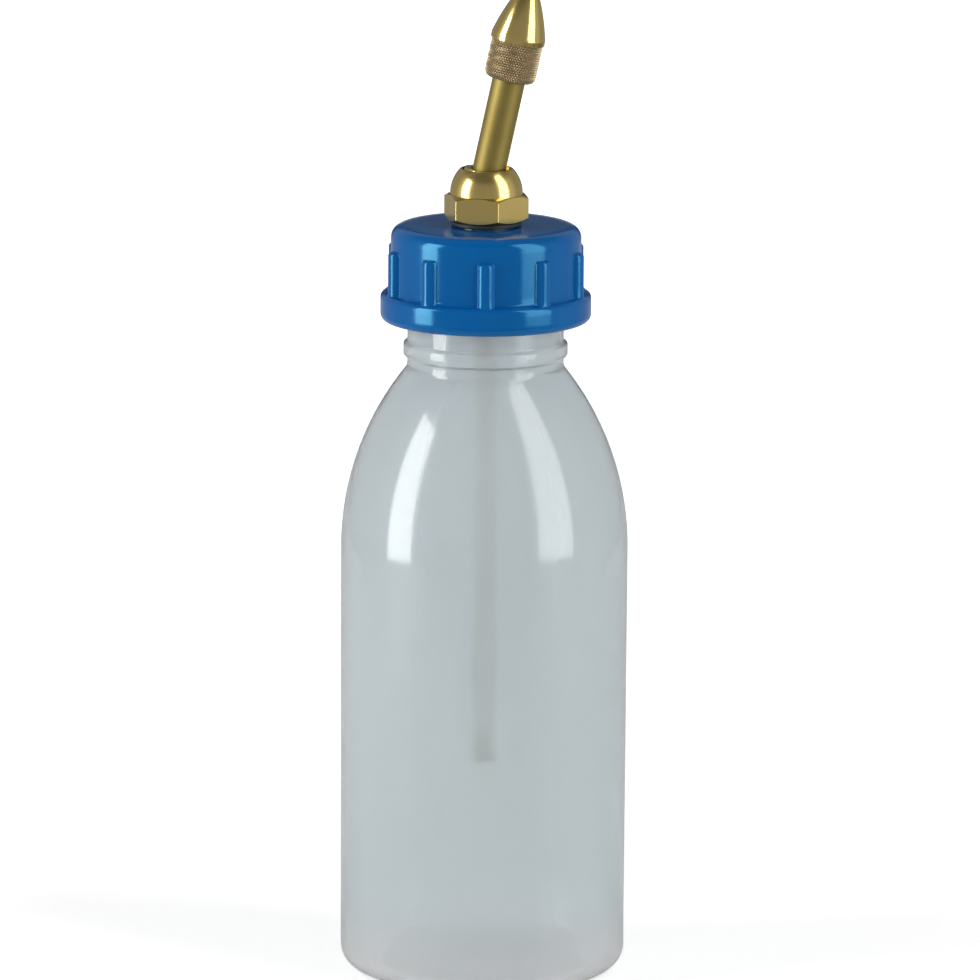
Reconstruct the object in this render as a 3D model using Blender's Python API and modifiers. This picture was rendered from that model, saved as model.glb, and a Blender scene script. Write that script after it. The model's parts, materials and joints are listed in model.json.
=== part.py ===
"""Oil can: a squeeze bottle with a screw cap and a ball-jointed brass spout.

Lengths are in metres and +Z is up. The origin is the centre of the bottle's foot, and the spout
leans towards +X. The bottle, cap and fitting are turned about the Z axis. The spout's pieces are
turned about the spout's own axis, which starts at the centre of the ball.

Every fit is worked out from the piece it fits plus a named clearance, from the inside out:
the spout tube sets the ball, the ball sets the nut's cavity, the cavity sets the stem's thread,
and the thread sets the nut, the washers and the hole in the cap.
"""

import math

import bmesh
import bpy
from mathutils import Matrix, Vector

# Clearances
SEAT_GAP = 0.0002  # between faces that rest on each other
RUNNING_GAP = 0.00025  # between the ball and what it turns in
THREAD_GAP = 0.00035  # between the crests and roots of the coarse thread
SWING_GAP = 0.00035  # between the tube at full swing and the nut's lip
PRISM_MARGIN = 0.001  # by which an intersecting prism is longer than its piece, at each end

# Bottle
BODY_RADIUS = 0.0285
BODY_DRAFT = 0.00023  # by which the heel is narrower than the top of the side
BODY_HEIGHT = 0.0855  # of the straight side, up to where the shoulder starts
BODY_WALL = 0.0012
SHOULDER_RADIUS = 0.0575
HEEL_RADIUS = 0.0048
FOOT_WIDTH = 0.003  # of the flat ring that the bottle stands on
PUSH_UP = 0.0026  # rise of the base's middle above the foot
BASE_BOW = 0.0004  # of the pushed-up base, out of a straight cone
NECK_RADIUS = 0.0155
NECK_WALL = 0.0015
NECK_HEIGHT = 0.0237  # from the top of the neck's fillet to the lip
NECK_FILLET = 0.0025
LIP_ROUND = 0.0005
BEAD_RISE = 0.0009  # from the top of the neck's fillet to the bead
BEAD_HEIGHT = 0.0035
BEAD_DEPTH = 0.0008
BEAD_ROUND = 0.0006

# Coarse thread of the neck and the cap
THREAD_PITCH = 0.004
THREAD_DEPTH = 0.0014
THREAD_ROOT = 0.0023  # width of a ridge at its root
THREAD_CREST = 0.0011  # width of a ridge at its crest
THREAD_TURNS = 1.5
THREAD_DROP = 0.0062  # from the lip to the top end of the neck's ridge
THREAD_RUN_OUT = math.radians(24)  # angle over which a ridge fades out
THREAD_BITE = 0.0005  # depth to which a ridge is sunk in its wall

# Cap
CAP_HEIGHT = 0.0189
CAP_WALL = 0.0016
CAP_TOP_WALL = 0.0022
CAP_EDGE = 0.0024
CAP_INNER_EDGE = 0.0008
FLANGE_DEPTH = 0.00202
FLANGE_HEIGHT = 0.0056
FLANGE_ROUND = 0.001
FLANGE_FOOT_ROUND = 0.0014
FLANGE_FILLET = 0.0008
RIB_COUNT = 10
RIB_WIDTH = 0.0036  # of a rib, and the diameter of its half-round section
RIB_DEPTH = 0.00137  # by which a rib's crest stands proud of the wall
RIB_DROP = 0.0045  # from the cap's top to the top of a rib
RIB_ROUND = 0.0008  # of a rib's top end
RIB_BITE = 0.0004  # depth of the straight foot below a rib's half circle
LINER_THICKNESS = 0.001
LINER_MARGIN = 0.0005  # between the liner and the head of the stem

# Spout tube and ball
TUBE_RADIUS = 0.00327
TUBE_WALL = 0.001
BALL_WALL = 0.00163  # of the ball round the tube
BALL_CUT = 0.002  # from the ball's centre to the flat on its top
TUBE_INSET = 0.0003  # from the flat of the ball to the end of the tube
SPOUT_TILT = math.radians(12)
SWING = math.radians(20)  # largest lean of the spout from the upright

# Ball seat
SEAT_BORE = 0.0028
SEAT_FLOOR = 0.0004  # thickness at the edge of the bore
SEAT_DROP = 0.0023  # from the ball's centre to the seat's rim

# Dome nut and stem
THREAD_STEP = 0.0006  # from the ball's cavity to the stem's thread
NUT_WALL = 0.00135  # outside the thread, at the flats of the hexagon
NUT_HEX_HEIGHT = 0.0052
NUT_GRIP = 0.0025  # length of thread that the nut holds
NUT_CHAMFER = math.radians(30)
HEX_TURN = math.radians(-74.5)  # direction of one corner of the hexagons
DOME_STEP = 0.0003  # from the flats of the hexagon in to the dome
NUT_LIP = 0.0005  # width of the flat ring round the opening
STEM_HEAD_HEIGHT = 0.003
STEM_BORE = 0.0008
STEM_CHAMFER = 0.0002  # at the top end of the thread
SPIGOT_LENGTH = 0.009
BARB_COUNT = 3
BARB_DEPTH = 0.0002

# Washers
WASHER_THICKNESS = 0.0008  # of the washer on the cap
GASKET_THICKNESS = 0.0008  # of the gasket under the cap's top
WASHER_MARGIN = 0.0016  # of both inside the corners of the hexagon

# Dip tube
DIP_TUBE_RADIUS = 0.00245
DIP_TUBE_WALL = 0.00075
DIP_TUBE_LENGTH = 0.1012
DIP_FOOT_RADIUS = 0.0028
DIP_FOOT_LENGTH = 0.0038
DIP_FOOT_BORE = 0.0008
DIP_FOOT_ROUND = 0.001  # at the lower end
DIP_FOOT_EDGE = 0.0002  # at the upper end
DIP_PLUG_LENGTH = 0.005

# Nozzle, with lengths along the spout's axis
NOZZLE_START = 0.0207  # from the centre of the ball
NOZZLE_GRIP = 0.0066  # length of tube inside the nozzle
NOZZLE_WALL = 0.0017
NOZZLE_ROUND = 0.0013  # of the grip's lower end
KNURL_LENGTH = 0.0079
BAND_LENGTH = 0.0011  # of the polished band between the knurl and the ogive
BAND_RISE = 0.0002  # by which the band and the ogive stand proud of the knurl
OGIVE_LENGTH = 0.0112
OGIVE_BULGE = 0.0004  # of the ogive, outside a straight cone
TIP_RADIUS = 0.0009
ORIFICE_RADIUS = 0.00045
TIP_WALL = 0.0044  # length of the narrow orifice
NOZZLE_BORE = 0.0019
NOZZLE_SEAL_THICKNESS = 0.0008

# Facets
BOTTLE_SEGMENTS = 44
CAP_SEGMENTS = 50
NUT_SEGMENTS = 30
SMALL_SEGMENTS = 24
ARC_ERROR = 0.0001  # largest distance from an arc to its chords
BASE_CHORDS = 3  # of the pushed-up base
OGIVE_CHORDS = 6
CREASE = math.radians(34)  # edges that bend by more stay sharp

# Radii that follow from one another, from the spout tube outwards
ball_bore = TUBE_RADIUS + SEAT_GAP
ball_radius = ball_bore + BALL_WALL
cavity_radius = ball_radius + RUNNING_GAP
stem_radius = cavity_radius + THREAD_STEP
stem_hole = stem_radius + SEAT_GAP
hex_flat = stem_hole + NUT_WALL  # half the width across flats
hex_corner = hex_flat / math.cos(math.pi / 6)
dome_radius = hex_flat - DOME_STEP
neck_bore = NECK_RADIUS - NECK_WALL
cap_bore = NECK_RADIUS + THREAD_DEPTH + THREAD_GAP
cap_radius = cap_bore + CAP_WALL
flange_radius = cap_radius + FLANGE_DEPTH
dip_tube_bore = DIP_TUBE_RADIUS - DIP_TUBE_WALL
barb_radius = dip_tube_bore - SEAT_GAP
nozzle_thread_bore = TUBE_RADIUS + SEAT_GAP
nozzle_radius = nozzle_thread_bore + NOZZLE_WALL
band_radius = nozzle_radius + BAND_RISE

# Heights of the bottle
shoulder_centre = BODY_RADIUS - SHOULDER_RADIUS  # radial place of the arc's centre
fillet_centre = NECK_RADIUS + NECK_FILLET
shoulder_angle = math.acos(
    (fillet_centre - shoulder_centre) / (SHOULDER_RADIUS + NECK_FILLET)
)
neck_base = BODY_HEIGHT + (SHOULDER_RADIUS + NECK_FILLET) * math.sin(shoulder_angle)
lip_height = neck_base + NECK_HEIGHT

# Heights of the cap and of what it carries
liner_bottom = lip_height + SEAT_GAP
cap_ceiling = liner_bottom + LINER_THICKNESS + SEAT_GAP
cap_top = cap_ceiling + CAP_TOP_WALL
cap_bottom = cap_top - CAP_HEIGHT
washer_bottom = cap_top + SEAT_GAP
nut_bottom = washer_bottom + WASHER_THICKNESS + SEAT_GAP
stem_top = nut_bottom + NUT_GRIP
gasket_top = cap_ceiling - SEAT_GAP
stem_head_top = gasket_top - GASKET_THICKNESS - SEAT_GAP
stem_head_bottom = stem_head_top - STEM_HEAD_HEIGHT
dip_tube_top = stem_head_bottom - SEAT_GAP
dip_tube_bottom = dip_tube_top - DIP_TUBE_LENGTH

# Ball seat and the ball's centre, above the stem
seat_radius = cavity_radius - SEAT_GAP
seat_bottom = stem_top + SEAT_GAP
ball_centre = seat_bottom + SEAT_FLOOR + math.sqrt(cavity_radius**2 - SEAT_BORE**2)

# Lines of the coarse thread: the height of a ridge's middle at angle 0, in the plane y = 0
neck_thread_start = lip_height - THREAD_DROP - THREAD_PITCH * THREAD_TURNS
cap_thread_start = neck_thread_start - THREAD_PITCH / 2


def new_collection(name):
    collection = bpy.data.collections.new(name)
    bpy.context.scene.collection.children.link(collection)
    return collection


def new_material(name, colour, roughness, metallic=0.0, alpha=1.0):
    material = bpy.data.materials.new(name)
    material.use_nodes = True
    shader = material.node_tree.nodes["Principled BSDF"]
    shader.inputs["Base Color"].default_value = (*colour, 1.0)
    shader.inputs["Roughness"].default_value = roughness
    shader.inputs["Metallic"].default_value = metallic
    shader.inputs["Alpha"].default_value = alpha
    material.diffuse_color = (*colour, alpha)
    return material


def add_object(name, mesh, collection, material=None, parent=None):
    piece = bpy.data.objects.new(name, mesh)
    collection.objects.link(piece)
    piece.parent = parent
    if material:
        mesh.materials.append(material)
    return piece


def arc(centre, radius, start, end):
    """Points (radius, height) on a circle, from one angle to another, both ends included.

    A chord that spans the angle t leaves a circle of radius r by r (1 - cos(t / 2)).
    """
    step = 2 * math.acos(1 - ARC_ERROR / radius)
    count = math.ceil(abs(end - start) / step)
    angles = [start + (end - start) * i / count for i in range(count + 1)]
    return [
        (centre[0] + radius * math.cos(a), centre[1] + radius * math.sin(a))
        for a in angles
    ]


def bow(start, end, bulge, count):
    """Points from start to end along a shallow parabola that leaves the straight line by bulge."""
    start, end = Vector(start), Vector(end)
    along = end - start
    outwards = Vector((-along.y, along.x)).normalized()
    steps = [i / count for i in range(count + 1)]
    return [tuple(start + along * t + outwards * 4 * bulge * t * (1 - t)) for t in steps]


def rounded(corners):
    """Points of a path whose corners are (radius, height, fillet), each fillet an arc.

    A fillet reaches along both of its edges by its tangent length, and at most half of either.
    """
    points = []
    for i, (r, z, fillet) in enumerate(corners):
        here = Vector((r, z))
        if not fillet or i in (0, len(corners) - 1):
            points.append((r, z))
            continue
        before = Vector(corners[i - 1][:2]) - here
        after = Vector(corners[i + 1][:2]) - here
        turn = math.pi - before.angle(after)
        reach = min(
            fillet * math.tan(turn / 2), before.length / 2, after.length / 2
        )
        radius = reach / math.tan(turn / 2)
        bisector = (before.normalized() + after.normalized()).normalized()
        centre = here + bisector * math.hypot(radius, reach)
        first = here + before.normalized() * reach - centre
        last = here + after.normalized() * reach - centre
        start = math.atan2(first.y, first.x)
        sweep = math.remainder(math.atan2(last.y, last.x) - start, math.tau)
        points += arc(centre, radius, start, start + sweep)
    return points


def turned(name, profile, segments, closed=True):
    """A piece turned about the Z axis from points (radius, height) that run down its outer side."""
    count = len(profile)
    edges = [(i, i + 1) for i in range(count - 1)]
    if closed:
        edges.append((count - 1, 0))
    mesh = bpy.data.meshes.new(name)
    mesh.from_pydata([(r, 0, z) for r, z in profile], edges, [])
    piece = add_object(name, mesh, parts)
    screw = piece.modifiers.new("Turn", "SCREW")
    screw.steps = screw.render_steps = segments
    screw.use_merge_vertices = True
    screw.merge_threshold = 1e-6
    return piece


def combine(piece, other, operation):
    """Cuts, joins or intersects the piece with another mesh, which becomes a hidden helper."""
    boolean = piece.modifiers.new(operation.title(), "BOOLEAN")
    boolean.operation = operation
    boolean.object = other
    boolean.solver = "EXACT"


def helper(name, mesh):
    piece = add_object(name, mesh, helpers)
    piece.hide_render = True
    piece.display_type = "WIRE"
    return piece


def finish(piece, material, parent=None):
    """Applies the modifiers, then shades the piece smooth with its creases left sharp."""
    graph = bpy.context.evaluated_depsgraph_get()
    mesh = bpy.data.meshes.new_from_object(piece.evaluated_get(graph))
    piece.modifiers.clear()
    piece.data = mesh
    mesh.name = piece.name
    mesh.materials.clear()
    mesh.materials.append(material)
    mesh.shade_smooth()
    mesh.set_sharp_from_angle(angle=CREASE)
    piece.parent = parent
    return piece


def ring(name, inner, outer, bottom, top, material, segments=SMALL_SEGMENTS, parent=None):
    """A washer: a rectangle turned about the axis."""
    profile = [(inner, top), (outer, top), (outer, bottom), (inner, bottom)]
    return finish(turned(name, profile, segments), material, parent)


def thread_ridge(name, wall_radius, outwards, start, segments):
    """One helical ridge of trapezoid section that fades out at both ends.

    A section stands every turn / segments radians. Its root is sunk in the wall, and its crest
    stands proud of it by the thread's depth times a factor that rises from 0 to 1 over the
    run-out. The sections are joined by faces, and the two end sections are capped.
    """
    total = math.tau * THREAD_TURNS
    count = round(segments * THREAD_TURNS)
    mesh = bmesh.new()
    rings = []
    for i in range(count + 1):
        angle = total * i / count
        fade = min(1.0, angle / THREAD_RUN_OUT, (total - angle) / THREAD_RUN_OUT)
        fade = max(fade, 0.0)
        middle = start + THREAD_PITCH * angle / math.tau
        root = wall_radius - outwards * THREAD_BITE
        crest = wall_radius + outwards * (THREAD_DEPTH * fade - THREAD_BITE / 2 * (1 - fade))
        root_half = THREAD_ROOT / 2
        crest_half = THREAD_CREST / 2
        section = [
            (root, -root_half),
            (crest, -crest_half),
            (crest, crest_half),
            (root, root_half),
        ]
        rings.append(
            [
                mesh.verts.new((r * math.cos(angle), r * math.sin(angle), middle + dz))
                for r, dz in section
            ]
        )
    for here, there in zip(rings, rings[1:]):
        for j in range(4):
            k = (j + 1) % 4
            mesh.faces.new((here[j], here[k], there[k], there[j]))
    mesh.faces.new(rings[0])
    mesh.faces.new(rings[-1])
    bmesh.ops.recalc_face_normals(mesh, faces=mesh.faces)
    data = bpy.data.meshes.new(name)
    mesh.to_mesh(data)
    mesh.free()
    return helper(name, data)


def hexagon(name, bottom, top):
    """A hexagonal prism of the nut's width across flats, with one corner at HEX_TURN."""
    mesh = bmesh.new()
    place = Matrix.Translation((0, 0, (bottom + top) / 2)) @ Matrix.Rotation(HEX_TURN, 4, "Z")
    corners = bmesh.ops.create_cone(
        mesh,
        cap_ends=True,
        segments=6,
        radius1=hex_corner,
        radius2=hex_corner,
        depth=top - bottom,
    )["verts"]
    first = math.atan2(corners[0].co.y, corners[0].co.x)
    bmesh.ops.transform(mesh, matrix=place @ Matrix.Rotation(-first, 4, "Z"), verts=mesh.verts)
    data = bpy.data.meshes.new(name)
    mesh.to_mesh(data)
    mesh.free()
    return helper(name, data)


def grip_ribs(name):
    """The cap's upright half-round ribs, spaced evenly round the wall, one facing -Y.

    A rib's section is a half circle on a straight foot that is sunk in the wall. At its top end
    the half circle shrinks along a quarter of an arc.
    """
    radius = RIB_WIDTH / 2
    centre = cap_radius + RIB_DEPTH - radius
    bottom = cap_bottom + FLANGE_HEIGHT / 2
    top = cap_top - RIB_DROP
    half_circle = arc((0, 0), radius, -math.pi / 2, math.pi / 2)
    end = arc((radius - RIB_ROUND, top - RIB_ROUND), RIB_ROUND, 0, math.pi / 2)
    mesh = bmesh.new()
    for i in range(RIB_COUNT):
        turn = Matrix.Rotation(math.tau * i / RIB_COUNT - math.pi / 2, 3, "Z")
        rings = []
        for r, z in [(radius, bottom)] + end:
            section = [(-RIB_BITE, -r)]
            section += [(x * r / radius, y * r / radius) for x, y in half_circle]
            section += [(-RIB_BITE, r)]
            rings.append([mesh.verts.new(turn @ Vector((centre + x, y, z))) for x, y in section])
        for here, there in zip(rings, rings[1:]):
            for j in range(len(here)):
                k = (j + 1) % len(here)
                mesh.faces.new((here[j], here[k], there[k], there[j]))
        mesh.faces.new(rings[0])
        mesh.faces.new(rings[-1])
    bmesh.ops.recalc_face_normals(mesh, faces=mesh.faces)
    data = bpy.data.meshes.new(name)
    mesh.to_mesh(data)
    mesh.free()
    return helper(name, data)


def make_bottle(material):
    """A blown shell: its section runs up the inside, over the lip and down the outside."""
    heel = (BODY_RADIUS - BODY_DRAFT - HEEL_RADIUS, HEEL_RADIUS)
    foot_inner = heel[0] - FOOT_WIDTH
    inner_angle = math.acos((neck_bore - shoulder_centre) / (SHOULDER_RADIUS - BODY_WALL))
    inside = (
        bow((0, PUSH_UP + BODY_WALL), (foot_inner, BODY_WALL), BASE_BOW, BASE_CHORDS)
        + arc(heel, HEEL_RADIUS - BODY_WALL, -math.pi / 2, 0)
        + arc((shoulder_centre, BODY_HEIGHT), SHOULDER_RADIUS - BODY_WALL, 0, inner_angle)
    )
    bead_bottom = neck_base + BEAD_RISE
    bead_top = bead_bottom + BEAD_HEIGHT
    bead_radius = NECK_RADIUS + BEAD_DEPTH
    neck = rounded(
        [
            (neck_bore, neck_base, 0),
            (neck_bore, lip_height, LIP_ROUND),
            (NECK_RADIUS, lip_height, LIP_ROUND),
            (NECK_RADIUS, bead_top, BEAD_ROUND),
            (bead_radius, bead_top - BEAD_ROUND, BEAD_ROUND),
            (bead_radius, bead_bottom + BEAD_ROUND, BEAD_ROUND),
            (NECK_RADIUS, bead_bottom, BEAD_ROUND),
            (NECK_RADIUS, neck_base, 0),
        ]
    )[1:]
    outside = (
        arc((fillet_centre, neck_base), NECK_FILLET, math.pi, math.pi + shoulder_angle)[1:]
        + arc((shoulder_centre, BODY_HEIGHT), SHOULDER_RADIUS, shoulder_angle, 0)[1:]
        + arc(heel, HEEL_RADIUS, 0, -math.pi / 2)
        + bow((foot_inner, 0), (0, PUSH_UP), -BASE_BOW, BASE_CHORDS)
    )
    bottle = turned("bottle", inside + neck + outside, BOTTLE_SEGMENTS, closed=False)
    ridge = thread_ridge("neck_thread", NECK_RADIUS, 1, neck_thread_start, BOTTLE_SEGMENTS)
    combine(bottle, ridge, "UNION")
    return finish(bottle, material)


def make_cap(material):
    flange_top = cap_bottom + FLANGE_HEIGHT
    profile = rounded(
        [
            (stem_hole, cap_top, 0),
            (cap_radius, cap_top, CAP_EDGE),
            (cap_radius, flange_top, FLANGE_FILLET),
            (flange_radius, flange_top, FLANGE_ROUND),
            (flange_radius, cap_bottom, FLANGE_FOOT_ROUND),
            (cap_bore, cap_bottom, 0),
            (cap_bore, cap_ceiling, CAP_INNER_EDGE),
            (stem_hole, cap_ceiling, 0),
        ]
    )
    cap = turned("screw_cap", profile, CAP_SEGMENTS)
    combine(cap, grip_ribs("cap_ribs"), "UNION")
    ridge = thread_ridge("cap_thread", cap_bore, -1, cap_thread_start, BOTTLE_SEGMENTS)
    combine(cap, ridge, "UNION")
    return finish(cap, material)


def make_dome_nut(material):
    """Hexagon bar, chamfered, with a dome turned on top and a ball cavity bored from below.

    The lip is cut where the tube at full swing clears it: its height h above the ball's centre
    and its radius r satisfy r^2 + h^2 = cavity^2 and r = tube / cos(swing) + h tan(swing) + gap.
    """
    slope = math.tan(SWING)
    reach = TUBE_RADIUS / math.cos(SWING) + SWING_GAP
    a = 1 + slope**2
    b = 2 * reach * slope
    c = reach**2 - cavity_radius**2
    lip_rise = (-b + math.sqrt(b**2 - 4 * a * c)) / (2 * a)
    opening = reach + lip_rise * slope
    top = ball_centre + lip_rise
    lip_outer = opening + NUT_LIP
    dome_centre = top - math.sqrt(dome_radius**2 - lip_outer**2)
    hex_top = nut_bottom + NUT_HEX_HEIGHT
    chamfer = (hex_corner - hex_flat) * math.tan(NUT_CHAMFER)
    dome_foot = max(hex_top, dome_centre)
    dome = arc(
        (0, dome_centre),
        dome_radius,
        math.acos(lip_outer / dome_radius),
        math.asin((dome_foot - dome_centre) / dome_radius),
    )
    outside = dome + [
        (hex_flat, hex_top),
        (hex_corner, hex_top - chamfer),
        (hex_corner, nut_bottom + chamfer),
        (hex_flat, nut_bottom),
    ]
    thread_end = stem_top + SEAT_GAP
    cavity = arc((0, ball_centre), cavity_radius, 0, math.asin(lip_rise / cavity_radius))
    inside = [
        (stem_hole, nut_bottom),
        (stem_hole, thread_end),
        (cavity_radius, thread_end + (stem_hole - cavity_radius)),
    ] + cavity
    nut = turned("dome_nut", outside + inside, NUT_SEGMENTS)
    prism = hexagon("nut_hexagon", nut_bottom - PRISM_MARGIN, top + PRISM_MARGIN)
    combine(nut, prism, "INTERSECT")
    return finish(nut, material)


def make_stem(material):
    """A hollow bolt: thread above the head, barbed hose spigot below it, one bore through."""
    chamfer = (hex_corner - hex_flat) * math.tan(NUT_CHAMFER)
    spigot_bottom = stem_head_bottom - SPIGOT_LENGTH
    barb_length = SPIGOT_LENGTH / (BARB_COUNT + 1)
    barbs = []
    for i in range(BARB_COUNT):
        edge = spigot_bottom + barb_length * (BARB_COUNT - i)
        barbs += [(barb_radius - BARB_DEPTH, edge), (barb_radius, edge)]
    outside = [
        (stem_radius - STEM_CHAMFER, stem_top),
        (stem_radius, stem_top - STEM_CHAMFER),
        (stem_radius, stem_head_top),
        (hex_flat, stem_head_top),
        (hex_corner, stem_head_top - chamfer),
        (hex_corner, stem_head_bottom + chamfer),
        (hex_flat, stem_head_bottom),
        (barb_radius - BARB_DEPTH, stem_head_bottom),
        *barbs,
        (barb_radius - BARB_DEPTH, spigot_bottom),
    ]
    inside = [
        (STEM_BORE, spigot_bottom),
        (STEM_BORE, stem_top - (SEAT_BORE - STEM_BORE)),
        (SEAT_BORE, stem_top),
    ]
    stem = turned("fitting_stem", outside + inside, SMALL_SEGMENTS)
    prism = hexagon("stem_hexagon", spigot_bottom - PRISM_MARGIN, stem_top + PRISM_MARGIN)
    combine(stem, prism, "INTERSECT")
    return finish(stem, material)


def make_dip_tube(tube_material, foot_material):
    """A straight hose on the stem's spigot, and a bored plug in its lower end."""
    ring(
        "dip_tube",
        dip_tube_bore,
        DIP_TUBE_RADIUS,
        dip_tube_bottom,
        dip_tube_top,
        tube_material,
    )
    foot_top = dip_tube_bottom - SEAT_GAP
    foot_bottom = foot_top - DIP_FOOT_LENGTH
    profile = [
        (barb_radius, foot_top + DIP_PLUG_LENGTH),
        (barb_radius, foot_top),
        *rounded(
            [
                (barb_radius, foot_top, 0),
                (DIP_FOOT_RADIUS, foot_top, DIP_FOOT_EDGE),
                (DIP_FOOT_RADIUS, foot_bottom, DIP_FOOT_ROUND),
                (DIP_FOOT_BORE, foot_bottom, 0),
            ]
        )[1:],
        (DIP_FOOT_BORE, foot_top + DIP_PLUG_LENGTH),
    ]
    finish(turned("dip_tube_foot", profile, SMALL_SEGMENTS), foot_material)


def make_ball_seat(material):
    """A cup whose upper side is the ball's sphere, one running gap larger."""
    rim = ball_centre - SEAT_DROP
    hollow = arc(
        (0, ball_centre),
        cavity_radius,
        -math.acos(SEAT_BORE / cavity_radius),
        -math.asin(SEAT_DROP / cavity_radius),
    )
    profile = hollow + [(seat_radius, rim), (seat_radius, seat_bottom), (SEAT_BORE, seat_bottom)]
    return finish(turned("ball_seat", profile, SMALL_SEGMENTS), material)


def make_spout(material, pivot):
    """The ball, bored for the tube and flat on top, and the tube that runs into the nozzle."""
    flat = math.acos(ball_bore / ball_radius)
    sphere = arc((0, 0), ball_radius, math.asin(BALL_CUT / ball_radius), -flat)
    profile = [(ball_bore, BALL_CUT)] + sphere
    finish(turned("spout_ball", profile, SMALL_SEGMENTS), material, pivot)
    tube_bottom = TUBE_INSET - ball_radius * math.sin(flat)
    ring(
        "spout_tube",
        TUBE_RADIUS - TUBE_WALL,
        TUBE_RADIUS,
        tube_bottom,
        NOZZLE_START + NOZZLE_GRIP,
        material,
        parent=pivot,
    )


def make_nozzle(brass, seal_material, pivot):
    """A turned nozzle on the spout's axis, and the ring that seals it to the tube's end."""
    seal_bottom = NOZZLE_START + NOZZLE_GRIP + SEAT_GAP
    seal_top = seal_bottom + NOZZLE_SEAL_THICKNESS
    ring(
        "nozzle_seal",
        TUBE_RADIUS - TUBE_WALL,
        TUBE_RADIUS,
        seal_bottom,
        seal_top,
        seal_material,
        parent=pivot,
    )
    shoulder = seal_top + SEAT_GAP
    knurl_end = NOZZLE_START + KNURL_LENGTH
    ogive_start = knurl_end + BAND_LENGTH
    tip = ogive_start + OGIVE_LENGTH
    bore_end = tip - TIP_WALL
    ogive = bow((TIP_RADIUS, tip), (band_radius, ogive_start), OGIVE_BULGE, OGIVE_CHORDS)
    round_centre = (nozzle_radius - NOZZLE_ROUND, NOZZLE_START + NOZZLE_ROUND)
    outside = ogive + [
        (band_radius, knurl_end),
        (nozzle_radius, knurl_end),
        *arc(round_centre, NOZZLE_ROUND, 0, -math.pi / 2),
    ]
    inside = [
        (nozzle_thread_bore, NOZZLE_START),
        (nozzle_thread_bore, shoulder),
        (NOZZLE_BORE, shoulder),
        (NOZZLE_BORE, bore_end - (NOZZLE_BORE - ORIFICE_RADIUS)),
        (ORIFICE_RADIUS, bore_end),
        (ORIFICE_RADIUS, tip),
    ]
    finish(turned("nozzle", outside + inside, NUT_SEGMENTS), brass, pivot)


def main():
    polyethylene = new_material("translucent polyethylene", (0.74, 0.78, 0.79), 0.3, alpha=0.6)
    blue = new_material("blue moulded plastic", (0.01, 0.11, 0.38), 0.3)
    brass = new_material("turned brass", (0.76, 0.6, 0.28), 0.22, 1.0)
    hose = new_material("translucent hose", (0.8, 0.8, 0.74), 0.35, alpha=0.7)
    cream = new_material("cream nylon", (0.82, 0.74, 0.56), 0.4)
    pale = new_material("pale liner", (0.6, 0.64, 0.58), 0.45)
    dark = new_material("black rubber", (0.03, 0.03, 0.03), 0.7)

    make_bottle(polyethylene)
    make_cap(blue)
    liner_inner = hex_corner + LINER_MARGIN
    liner_outer = cap_bore - THREAD_GAP
    liner_top = liner_bottom + LINER_THICKNESS
    ring("cap_liner", liner_inner, liner_outer, liner_bottom, liner_top, pale)
    washer_outer = hex_corner - WASHER_MARGIN
    washer_top = washer_bottom + WASHER_THICKNESS
    ring("outer_washer", stem_hole, washer_outer, washer_bottom, washer_top, dark)
    gasket_bottom = gasket_top - GASKET_THICKNESS
    ring("inner_gasket", stem_hole, washer_outer, gasket_bottom, gasket_top, dark)
    make_stem(brass)
    make_dome_nut(brass)
    make_dip_tube(hose, cream)
    make_ball_seat(cream)

    pivot = bpy.data.objects.new("spout_pivot", None)
    parts.objects.link(pivot)
    pivot.location = (0, 0, ball_centre)
    pivot.rotation_euler = (0, SPOUT_TILT, 0)
    make_spout(brass, pivot)
    make_nozzle(brass, dark, pivot)


for old in list(bpy.data.objects):
    bpy.data.objects.remove(old, do_unlink=True)
parts = new_collection("oil_can")
helpers = new_collection("cutters")
main()
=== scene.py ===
# %% [markdown]
# # An oil can, dressed for its photograph
# The oil can is a squeeze bottle of milky plastic with a blue screw cap. A brass nut on the cap
# holds a brass spout, which turns on a ball and ends in a knurled nozzle. The solids come from
# the CAD model and stay where they are. This lesson puts a finer surface over each piece that
# shows, gives every piece its finish, and lights the whole as in a small studio.

# %% Load the solids
import json
import math

import bpy
import numpy as np
from mathutils import Matrix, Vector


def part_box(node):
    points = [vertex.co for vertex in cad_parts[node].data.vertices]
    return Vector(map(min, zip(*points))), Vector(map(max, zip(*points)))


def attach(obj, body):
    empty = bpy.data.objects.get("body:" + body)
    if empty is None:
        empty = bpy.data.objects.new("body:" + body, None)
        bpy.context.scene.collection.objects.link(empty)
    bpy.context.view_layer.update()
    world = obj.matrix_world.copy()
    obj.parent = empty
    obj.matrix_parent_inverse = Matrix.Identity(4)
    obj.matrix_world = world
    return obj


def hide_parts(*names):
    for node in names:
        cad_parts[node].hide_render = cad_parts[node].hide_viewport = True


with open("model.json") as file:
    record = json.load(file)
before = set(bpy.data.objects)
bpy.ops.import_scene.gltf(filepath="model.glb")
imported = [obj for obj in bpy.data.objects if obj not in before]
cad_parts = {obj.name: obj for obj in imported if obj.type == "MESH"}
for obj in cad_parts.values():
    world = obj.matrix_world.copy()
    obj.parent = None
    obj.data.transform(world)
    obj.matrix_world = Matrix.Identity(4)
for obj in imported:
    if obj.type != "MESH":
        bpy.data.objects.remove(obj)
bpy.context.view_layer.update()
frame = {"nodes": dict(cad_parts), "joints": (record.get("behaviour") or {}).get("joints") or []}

MM = 0.001
print("solids:", len(frame["nodes"]), "pieces")

# %% [markdown]
# ## The camera
# The photograph was taken with a long lens from two metres away and a little above, so upright
# lines stay almost parallel. The camera's place, lens and slight roll were worked out once from
# the outline of the bottle and the ellipses of the cap. It looks slightly above the middle of
# the object, which leaves the foot on the lower edge of the picture and cuts the nozzle's tip.

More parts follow.
